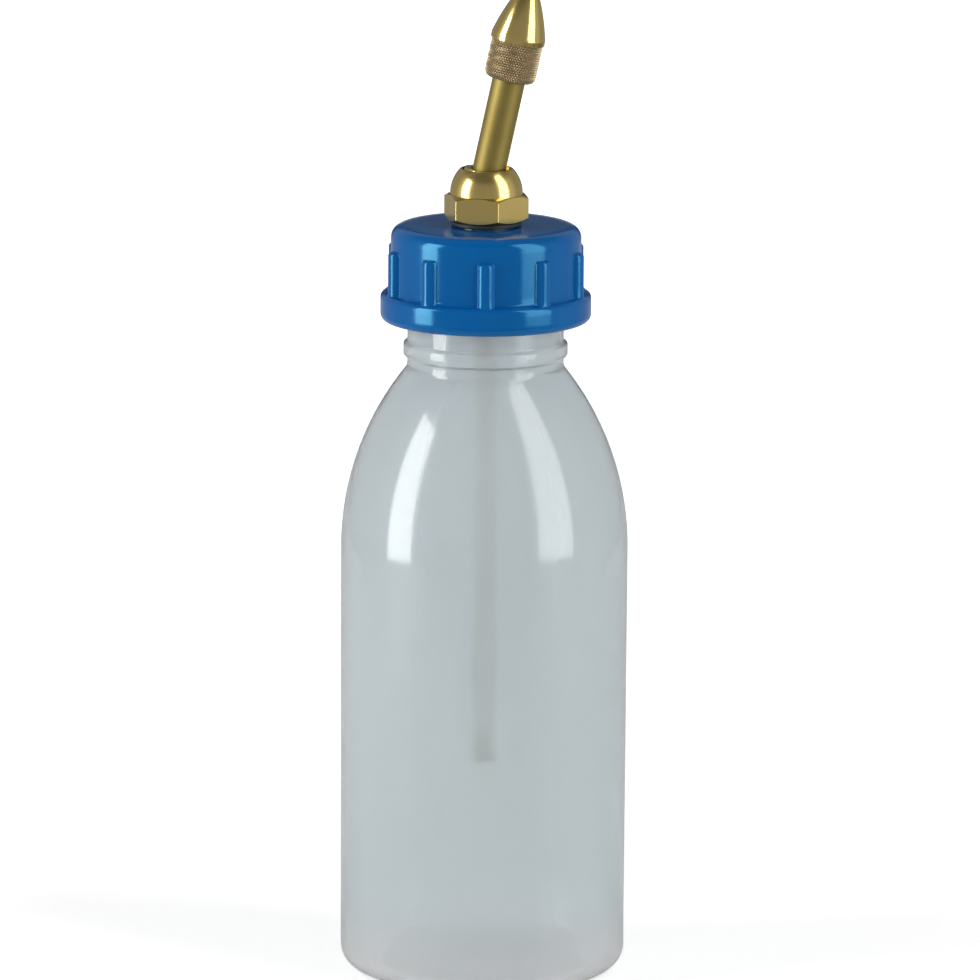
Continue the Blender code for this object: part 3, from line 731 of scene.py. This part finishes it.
spout_ball_turned, spout_tube_drawn = spout_pieces()
nozzle_knurled = nozzle_surface()
for piece, node, body in (
    (spout_ball_turned, "spout_ball", "spout"),
    (spout_tube_drawn, "spout_tube", "spout"),
    (nozzle_knurled, "nozzle", "nozzle"),
):
    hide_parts(node)
    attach(piece, body)

# %% [markdown]
# ## The dip tube and its foot
# Inside hangs a translucent hose, which takes the oil from near the bottom when the bottle is
# squeezed upright. A small cream plug in its lower end keeps the hose straight. Both are seen
# only through the bottle's wall, so plain turned forms with soft edges are enough.

# %% Dip tube
hose_low, hose_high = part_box("dip_tube")
foot_low, foot_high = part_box("dip_tube_foot")
HOSE_RADIUS = 2.45 * MM
HOSE_BORE = 1.7 * MM
PLUG_RADIUS = 2.8 * MM
STALK_RADIUS = 1.5 * MM
PLUG_BORE = 0.8 * MM
PLUG_EDGE = 0.2 * MM
HOSE_EDGE = 0.15 * MM


def dip_tube_surfaces(columns=64):
    """A ring for the hose, and for the foot a ring with a rounded lower end and a thin stalk."""
    angles = even_turn(columns)
    bottom, top = hose_low[2], hose_high[2]
    path = filleted(
        [
            (HOSE_BORE, bottom, 0, 8 * MM),
            (HOSE_BORE, top, 0, MM),
            (HOSE_RADIUS, top, HOSE_EDGE, 8 * MM),
            (HOSE_RADIUS, bottom, HOSE_EDGE, MM),
        ]
    )
    hose = grid_piece("dip_tube_hose", turned(path[:, :1], path[:, 1:], angles))
    step = bottom - SEAT_GAP
    path = filleted(
        [
            (PLUG_BORE, foot_low[2], 0, 2 * MM),
            (PLUG_BORE, foot_high[2], 0, MM),
            (STALK_RADIUS, foot_high[2], 0, 2 * MM),
            (STALK_RADIUS, step, 0, MM),
            (PLUG_RADIUS, step, PLUG_EDGE, 0.6 * MM),
            (PLUG_RADIUS, foot_low[2], MM, MM),
        ]
    )
    plug = grid_piece("dip_tube_plug", turned(path[:, :1], path[:, 1:], angles))
    return hose, plug


dip_tube_hose, dip_tube_plug = dip_tube_surfaces()
for piece, node, slot in (
    (dip_tube_hose, "dip_tube", "hose"),
    (dip_tube_plug, "dip_tube_foot", "cream_nylon"),
):
    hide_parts(node)
    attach(piece, "cap")

# %% [markdown]
# ## Finishes
# Two effects are shared by several materials, so each is a node group. A moulded skin has a
# very fine grain and slow changes of tone, where the melt cooled unevenly. Worked metal has
# fine lines: round the axis where a lathe cut it, along the axis where a bar or tube was drawn.
# Which of the two it is depends only on how the coordinates are stretched before the group.

# %% Node helpers and shared groups
def add_node(tree, kind, settings=None, **values):
    """One shader node. A value is a plain number or colour, or another node's output socket."""
    made = tree.nodes.new("ShaderNode" + kind)
    for key, value in (settings or {}).items():
        setattr(made, key, value)
    for key, value in values.items():
        socket = made.inputs[key.replace("_", " ")]
        if isinstance(value, bpy.types.NodeSocket):
            tree.links.new(value, socket)
        else:
            socket.default_value = value
    return made


def new_group(name, inputs, outputs):
    """An empty node group with named sockets, its inlet and its outlet."""
    group = bpy.data.node_groups.new(name, "ShaderNodeTree")
    for title, kind, value in inputs:
        socket = group.interface.new_socket(title, in_out="INPUT", socket_type=kind)
        if value is not None:
            socket.default_value = value
    for title, kind in outputs:
        group.interface.new_socket(title, in_out="OUTPUT", socket_type=kind)
    return group, group.nodes.new("NodeGroupInput"), group.nodes.new("NodeGroupOutput")


def moulded_skin():
    """Height from fine noise, tone from slow noise, and a roughness that follows the tone."""
    group, inlet, outlet = new_group(
        "moulded skin",
        [
            ("Vector", "NodeSocketVector", None),
            ("Grain", "NodeSocketFloat", 9000.0),
            ("Flow", "NodeSocketFloat", 60.0),
            ("Roughness", "NodeSocketFloat", 0.3),
            ("Spread", "NodeSocketFloat", 0.05),
        ],
        [("Tone", "NodeSocketFloat"), ("Roughness", "NodeSocketFloat")]
        + [("Height", "NodeSocketFloat")],
    )
    vector = inlet.outputs["Vector"]
    grain = add_node(group, "TexNoise", Vector=vector, Scale=inlet.outputs["Grain"], Detail=2.0)
    flow = add_node(group, "TexNoise", Vector=vector, Scale=inlet.outputs["Flow"], Detail=3.0)
    centred = add_node(group, "Math", {"operation": "SUBTRACT"})
    group.links.new(flow.outputs["Fac"], centred.inputs[0])
    centred.inputs[1].default_value = 0.5
    rough = add_node(group, "Math", {"operation": "MULTIPLY_ADD"})
    group.links.new(centred.outputs[0], rough.inputs[0])
    group.links.new(inlet.outputs["Spread"], rough.inputs[1])
    group.links.new(inlet.outputs["Roughness"], rough.inputs[2])
    group.links.new(flow.outputs["Fac"], outlet.inputs["Tone"])
    group.links.new(rough.outputs[0], outlet.inputs["Roughness"])
    group.links.new(grain.outputs["Fac"], outlet.inputs["Height"])
    return group


def worked_metal():
    """Noise on stretched coordinates gives height and roughness, and slow noise the tone."""
    group, inlet, outlet = new_group(
        "worked metal",
        [
            ("Vector", "NodeSocketVector", None),
            ("Place", "NodeSocketVector", None),
            ("Roughness", "NodeSocketFloat", 0.2),
            ("Spread", "NodeSocketFloat", 0.1),
        ],
        [("Tone", "NodeSocketFloat"), ("Roughness", "NodeSocketFloat")]
        + [("Height", "NodeSocketFloat")],
    )
    lines = add_node(group, "TexNoise", Vector=inlet.outputs["Vector"], Scale=1.0, Detail=4.0)
    slow = add_node(group, "TexNoise", Vector=inlet.outputs["Place"], Scale=180.0, Detail=3.0)
    centred = add_node(group, "Math", {"operation": "SUBTRACT"})
    group.links.new(lines.outputs["Fac"], centred.inputs[0])
    centred.inputs[1].default_value = 0.5
    rough = add_node(group, "Math", {"operation": "MULTIPLY_ADD"})
    group.links.new(centred.outputs[0], rough.inputs[0])
    group.links.new(inlet.outputs["Spread"], rough.inputs[1])
    group.links.new(inlet.outputs["Roughness"], rough.inputs[2])
    group.links.new(slow.outputs["Fac"], outlet.inputs["Tone"])
    group.links.new(rough.outputs[0], outlet.inputs["Roughness"])
    group.links.new(lines.outputs["Fac"], outlet.inputs["Height"])
    return group


skin_group = moulded_skin()
metal_group = worked_metal()


def new_material(name, **shader_values):
    """A material with one Principled shader. Uniform values go straight onto its sockets."""
    material = bpy.data.materials.new(name)
    material.use_nodes = True
    shader = material.node_tree.nodes["Principled BSDF"]
    for key, value in shader_values.items():
        shader.inputs[key.replace("_", " ")].default_value = value
    return material, material.node_tree, shader


def mixed(tree, share, first, second):
    """A colour between two, by a share from 0 to 1."""
    blend = add_node(tree, "Mix", {"data_type": "RGBA"})
    tree.links.new(share, blend.inputs[0])
    blend.inputs[6].default_value = (*first, 1)
    blend.inputs[7].default_value = (*second, 1)
    return blend.outputs[2]


BUMP_STRENGTH = 0.3


def bumped(tree, shader, height, distance):
    """Raises the surface by a height, in metres at full strength."""
    bump = add_node(tree, "Bump", Height=height, Distance=distance, Strength=BUMP_STRENGTH)
    tree.links.new(bump.outputs["Normal"], shader.inputs["Normal"])


def dressed(piece, material):
    piece.data.materials.clear()
    piece.data.materials.append(material)


# %% [markdown]
# ## Plastics and rubber
# Milky polyethylene is part clear and part white: most of the light goes through the wall, bent
# and slightly blurred, and the rest comes back as from paper. The Principled shader does this
# with a Transmission Weight of about 0.7, under a thin coat of gloss. The foot is painted paler,
# as painted light from the white floor seen through the base. The cap's plastic is dyed through,
# so it is one deep blue, and a blue Specular Tint keeps its reflections from turning it grey. The
# rubber is dark and dull, and its blue tint is a painted reflection of the blue cap.

# %% Plastics
def plastic(name, first, second, roughness, spread, grain=9000.0, flow=60.0, bump=2e-5, **more):
    """A moulded plastic whose tone wanders between two close colours."""
    material, tree, shader = new_material(name, **more)
    place = add_node(tree, "TexCoord")
    skin = add_node(tree, "Group", {"node_tree": skin_group}, Grain=grain, Flow=flow)
    skin.inputs["Roughness"].default_value = roughness
    skin.inputs["Spread"].default_value = spread
    tree.links.new(place.outputs["Object"], skin.inputs["Vector"])
    tree.links.new(mixed(tree, skin.outputs["Tone"], first, second), shader.inputs["Base Color"])
    tree.links.new(skin.outputs["Roughness"], shader.inputs["Roughness"])
    bumped(tree, shader, skin.outputs["Height"], bump)
    return material


milky = plastic(
    "milky polyethylene", (0.80, 0.86, 0.88), (0.83, 0.885, 0.905), 0.14, 0.03,
    grain=5000.0, flow=30.0, bump=2e-6, IOR=1.5, Transmission_Weight=0.72,
    Coat_Weight=0.25, Coat_Roughness=0.06,
)
blue = plastic(
    "blue cap plastic", (0.0005, 0.098, 0.35), (0.0007, 0.111, 0.38), 0.14, 0.05,
    grain=7000.0, flow=90.0, bump=8e-6, IOR=1.75, Specular_Tint=(0.2, 0.76, 1.0, 1.0),
)
hose_plastic = plastic(
    "hose plastic", (0.98, 0.945, 0.90), (1.0, 0.965, 0.92), 0.15, 0.05,
    flow=200.0, IOR=1.4, Transmission_Weight=0.85,
)
nylon = plastic("cream nylon", (0.98, 0.945, 0.85), (1.0, 0.97, 0.88), 0.3, 0.1, flow=300.0)
liner = plastic("pale liner", (0.57, 0.62, 0.56), (0.63, 0.67, 0.61), 0.45, 0.1, flow=250.0)
# The blue tint in this dark rubber is a painted reflection of the blue cap under the nut.
rubber = plastic("dark rubber, painted blue reflection", (0.012, 0.024, 0.033), (0.026, 0.045, 0.058), 0.5, 0.2, flow=400.0)


# Painted light: the foot is made paler, as the white floor seen through the base would make it.
FOOT_PAINTED_LIGHT = (0.93, 0.93, 0.935)
FOOT_LIGHT_SHARE = 0.9
FOOT_PALE = 3 * MM
FOOT_FADED = 14 * MM


def paint_foot_light(material):
    """Paints light onto the foot by mixing in a paler colour, whose share falls evenly with the
    height between two marks.
    """
    tree = material.node_tree
    colour = tree.nodes["Principled BSDF"].inputs["Base Color"]
    place = add_node(tree, "TexCoord")
    parts = add_node(tree, "SeparateXYZ", Vector=place.outputs["Object"])
    share = add_node(
        tree, "MapRange", Value=parts.outputs["Z"], From_Min=FOOT_PALE, From_Max=FOOT_FADED,
        To_Min=FOOT_LIGHT_SHARE, To_Max=0.0,
    )
    blend = add_node(tree, "Mix", {"data_type": "RGBA"})
    tree.links.new(share.outputs["Result"], blend.inputs[0])
    tree.links.new(colour.links[0].from_socket, blend.inputs[6])
    blend.inputs[7].default_value = (*FOOT_PAINTED_LIGHT, 1)
    tree.links.new(blend.outputs[2], colour)


paint_foot_light(milky)
dressed(bottle_shell, milky)
dressed(screw_cap_shell, blue)
dressed(washer_ring, rubber)
dressed(dip_tube_hose, hose_plastic)
dressed(dip_tube_plug, nylon)
for node, material in (
    ("bottle", milky),
    ("screw_cap", blue),
    ("outer_washer", rubber),
    ("dip_tube", hose_plastic),
    ("dip_tube_foot", nylon),
    ("cap_liner", liner),
    ("inner_gasket", rubber),
    ("ball_seat", nylon),
    ("nozzle_seal", rubber),
):
    dressed(frame["nodes"][node], material)

# %% [markdown]
# ## Brass
# Brass is a yellow mirror, so most of its look is what it reflects. The nut and the nozzle's
# point are turned smooth. The drawn tube is duller, and its colour is darkened as painted shade,
# for the dark surroundings it reflects. The knurl looks dull because its small faces point every
# way, and its colour is darkened as painted shade of its grooves. The marks follow the turn and
# the length along the profile, kept in each piece's own UV map.

# %% Brass
BRASS_LIGHT = (0.84, 0.65, 0.25)
BRASS_DEEP = (0.77, 0.58, 0.19)
# The tube's colours are darkened as painted shade, for the dark surroundings it reflects.
TUBE_SHADED_LIGHT = (0.37, 0.295, 0.095)
TUBE_SHADED_DEEP = (0.30, 0.23, 0.065)
# The knurl's darker colour is painted shade of its grooves.
KNURL_SHADE_COLOUR = (0.46, 0.36, 0.21)
KNURL_ROUGHNESS = 0.28
TURNED_LINES = (3.0, 9000.0)
DRAWN_LINES = (260.0, 60.0)
INNER_LINES = (900.0, 900.0, 9000.0)
METAL_BUMP = 2e-6


def brass(name, roughness, spread, stretch, deep=BRASS_DEEP, light=BRASS_LIGHT, knurled=False):
    """Metal with lines. stretch is (lines round a turn, lines per metre of profile).

    Where the knurl mark is 1, the brass takes a darker colour, painted shade of its grooves, and is
    rougher.
    """
    material, tree, shader = new_material(name, Metallic=1.0)
    place = add_node(tree, "TexCoord")
    profile = add_node(tree, "UVMap", {"uv_map": "profile"})
    scale = add_node(tree, "Mapping", Vector=profile.outputs["UV"], Scale=(*stretch, 1.0))
    metal = add_node(tree, "Group", {"node_tree": metal_group}, Vector=scale.outputs["Vector"])
    tree.links.new(place.outputs["Object"], metal.inputs["Place"])
    metal.inputs["Roughness"].default_value = roughness
    metal.inputs["Spread"].default_value = spread
    colour = mixed(tree, metal.outputs["Tone"], deep, light)
    rough = metal.outputs["Roughness"]
    if knurled:
        mark = add_node(tree, "Attribute", {"attribute_name": "knurl"})
        # A darker colour where the knurl mark is 1 paints the shade of the grooves.
        groove_shade = add_node(tree, "Mix", {"data_type": "RGBA"})
        tree.links.new(mark.outputs["Fac"], groove_shade.inputs[0])
        tree.links.new(colour, groove_shade.inputs[6])
        groove_shade.inputs[7].default_value = (*KNURL_SHADE_COLOUR, 1)
        colour = groove_shade.outputs[2]
        added = add_node(tree, "Math", {"operation": "MULTIPLY_ADD"})
        tree.links.new(mark.outputs["Fac"], added.inputs[0])
        added.inputs[1].default_value = KNURL_ROUGHNESS
        tree.links.new(rough, added.inputs[2])
        rough = added.outputs[0]
    tree.links.new(colour, shader.inputs["Base Color"])
    tree.links.new(rough, shader.inputs["Roughness"])
    bumped(tree, shader, metal.outputs["Height"], METAL_BUMP)
    return material


turned_brass = brass("turned brass", 0.2, 0.1, TURNED_LINES)
drawn_brass = brass("drawn brass tube", 0.55, 0.14, DRAWN_LINES, TUBE_SHADED_DEEP, TUBE_SHADED_LIGHT)
knurled_brass = brass("knurled brass", 0.15, 0.08, TURNED_LINES, knurled=True)
dressed(dome_nut_body, turned_brass)
dressed(spout_ball_turned, turned_brass)
dressed(spout_tube_drawn, drawn_brass)
dressed(nozzle_knurled, knurled_brass)


def plain_brass():
    """For the solids that carry no profile map: the same lines, on Object coordinates."""
    material, tree, shader = new_material("inner brass", Metallic=1.0)
    place = add_node(tree, "TexCoord")
    metal = add_node(tree, "Group", {"node_tree": metal_group})
    stretch = add_node(tree, "Mapping", Scale=INNER_LINES)
    tree.links.new(place.outputs["Object"], stretch.inputs["Vector"])
    tree.links.new(stretch.outputs["Vector"], metal.inputs["Vector"])
    tree.links.new(place.outputs["Object"], metal.inputs["Place"])
    colour = mixed(tree, metal.outputs["Tone"], BRASS_DEEP, BRASS_LIGHT)
    tree.links.new(colour, shader.inputs["Base Color"])
    tree.links.new(metal.outputs["Roughness"], shader.inputs["Roughness"])
    bumped(tree, shader, metal.outputs["Height"], METAL_BUMP)
    return material


inner_brass = plain_brass()
for node in ("fitting_stem", "dome_nut", "spout_ball", "spout_tube", "nozzle"):
    dressed(frame["nodes"][node], inner_brass)

# %% [markdown]
# ## Studio
# The highlights show two large soft boxes, one on either side of the camera. Two area lamps
# stand where the boxes did, a metre away and beyond the edges of a small table, from a little
# below its level to well above the object. The world is plain white for the camera and through
# plastic, and dim for everything else, so that the background is white without more light on
# the object. Reflections need more than that: they see a room whose level is one ramp by
# depth times one by height.

# %% Lamps
LAMP_DISTANCE = 1.0


def soft_box(name, start, end, bottom, top, radiance):
    """An upright lamp that faces the object, between two azimuths from the camera's direction.

    Its power is radiance times pi times the area.
    """
    azimuth = math.radians((start + end) / 2)
    width = 2 * LAMP_DISTANCE * math.tan(math.radians(end - start) / 2)
    size = top - bottom
    data = bpy.data.lights.new(name, "AREA")
    data.shape = "RECTANGLE"
    data.size = width
    data.size_y = size
    data.energy = radiance * math.pi * width * size
    lamp = bpy.data.objects.new(name, data)
    x, y = LAMP_DISTANCE * math.sin(azimuth), -LAMP_DISTANCE * math.cos(azimuth)
    lamp.location = (x, y, (top + bottom) / 2)
    lamp.rotation_euler = (math.pi / 2, 0, azimuth)
    bpy.context.scene.collection.objects.link(lamp)
    print(f"{name}: {data.energy:.2f} W")


soft_box("soft box left", -83, -60, -0.07, 0.9, 6.2)
soft_box("soft box right", 44, 75, -0.04, 1.8, 3.1)

# %% Room and floor
FLOOR_FRONT = -0.3
FLOOR_BACK = 1.6
FLOOR_HALF = 0.4
FLOOR_COLOUR = 0.8
FLOOR_LIFT_NEAR = 0.55
FLOOR_LIFT_FAR = 1.0
FLOOR_LIFT_CLEAR = 0.35
FLOOR_NEAR = 0.1
FLOOR_FAR = 0.5
ROOM_LIGHT = 0.32
FLOOR_ROUGHNESS = 0.9
DEPTH_LEVELS = (
    (-1.0, 1.0), (-0.3, 1.0), (0.0, 1.7), (0.4, 1.0), (0.90, 1.0), (0.965, 0.12), (0.992, 0.12),
    (0.998, 4.0),
)
HEIGHT_LEVELS = ((-1.0, 0.1), (-0.34, 0.12), (-0.2, 0.32), (0.52, 0.28), (0.7, 0.13), (1.0, 0.13))


def level_ramp(tree, value, levels):
    """A grey level that follows a direction from -1 to 1 through a few stops."""
    share = add_node(tree, "MapRange", Value=value, From_Min=-1.0, From_Max=1.0)
    ramp = add_node(tree, "ValToRGB", Fac=share.outputs["Result"])
    stops = ramp.color_ramp.elements
    for _ in levels[2:]:
        stops.new(0.5)
    for stop, (place, level) in zip(stops, levels):
        stop.position = (place + 1) / 2
        stop.color = (level, level, level, 1)
    return ramp.outputs["Color"]


def studio_room():
    """White for the camera and for clear paths, and a dim even grey for diffuse light.

    A reflection sees its direction's level by depth (Y) times its level by height (Z).
    """
    world = bpy.data.worlds.new("studio")
    bpy.context.scene.world = world
    world.use_nodes = True
    tree = world.node_tree
    ground = tree.nodes["Background"]
    ray = add_node(tree, "LightPath")
    way = add_node(tree, "TexCoord")
    parts = add_node(tree, "SeparateXYZ", Vector=way.outputs["Generated"])
    depth = level_ramp(tree, parts.outputs["Y"], DEPTH_LEVELS)
    height = level_ramp(tree, parts.outputs["Z"], HEIGHT_LEVELS)
    seen = add_node(tree, "Math", {"operation": "MULTIPLY"})
    tree.links.new(depth, seen.inputs[0])
    tree.links.new(height, seen.inputs[1])
    clear = add_node(tree, "Math", {"operation": "MAXIMUM"})
    tree.links.new(ray.outputs["Is Camera Ray"], clear.inputs[0])
    tree.links.new(ray.outputs["Is Transmission Ray"], clear.inputs[1])
    glossy = add_node(tree, "Mix", {"data_type": "RGBA"})
    tree.links.new(ray.outputs["Is Glossy Ray"], glossy.inputs[0])
    glossy.inputs[6].default_value = (ROOM_LIGHT, ROOM_LIGHT, ROOM_LIGHT, 1)
    tree.links.new(seen.outputs[0], glossy.inputs[7])
    final = add_node(tree, "Mix", {"data_type": "RGBA"})
    tree.links.new(clear.outputs[0], final.inputs[0])
    tree.links.new(glossy.outputs[2], final.inputs[6])
    final.inputs[7].default_value = (1, 1, 1, 1)
    tree.links.new(final.outputs[2], ground.inputs["Color"])


def studio_floor():
    """A pale sheet that keeps the shadow.

    The camera also sees a glow that makes it white, and grows with the distance from the object.
    Clear paths see a weaker glow, the same all over.
    """
    edge = [(-FLOOR_HALF, FLOOR_FRONT), (FLOOR_HALF, FLOOR_FRONT)]
    edge += [(FLOOR_HALF, FLOOR_BACK), (-FLOOR_HALF, FLOOR_BACK)]
    mesh = bpy.data.meshes.new("floor")
    mesh.from_pydata([(x, y, 0) for x, y in edge], [], [(0, 1, 2, 3)])
    floor = bpy.data.objects.new("floor", mesh)
    bpy.context.scene.collection.objects.link(floor)
    material, tree, shader = new_material("floor", Roughness=FLOOR_ROUGHNESS)
    shader.inputs["Base Color"].default_value = (FLOOR_COLOUR, FLOOR_COLOUR, FLOOR_COLOUR, 1)
    shader.inputs["Specular IOR Level"].default_value = 0
    shader.inputs["Emission Color"].default_value = (1, 1, 1, 1)
    ray = add_node(tree, "LightPath")
    clear = add_node(tree, "Math", {"operation": "MULTIPLY"})
    tree.links.new(ray.outputs["Is Transmission Ray"], clear.inputs[0])
    clear.inputs[1].default_value = FLOOR_LIFT_CLEAR
    place = add_node(tree, "TexCoord")
    away = add_node(tree, "VectorMath", {"operation": "LENGTH"})
    tree.links.new(place.outputs["Object"], away.inputs[0])
    lift = add_node(
        tree, "MapRange", Value=away.outputs["Value"], From_Min=FLOOR_NEAR, From_Max=FLOOR_FAR,
        To_Min=FLOOR_LIFT_NEAR, To_Max=FLOOR_LIFT_FAR,
    )
    glow = add_node(tree, "Math", {"operation": "MULTIPLY_ADD"})
    tree.links.new(ray.outputs["Is Camera Ray"], glow.inputs[0])
    tree.links.new(lift.outputs["Result"], glow.inputs[1])
    tree.links.new(clear.outputs[0], glow.inputs[2])
    tree.links.new(glow.outputs[0], shader.inputs["Emission Strength"])
    dressed(floor, material)


studio_room()
studio_floor()
bpy.context.scene.view_settings.view_transform = "Standard"
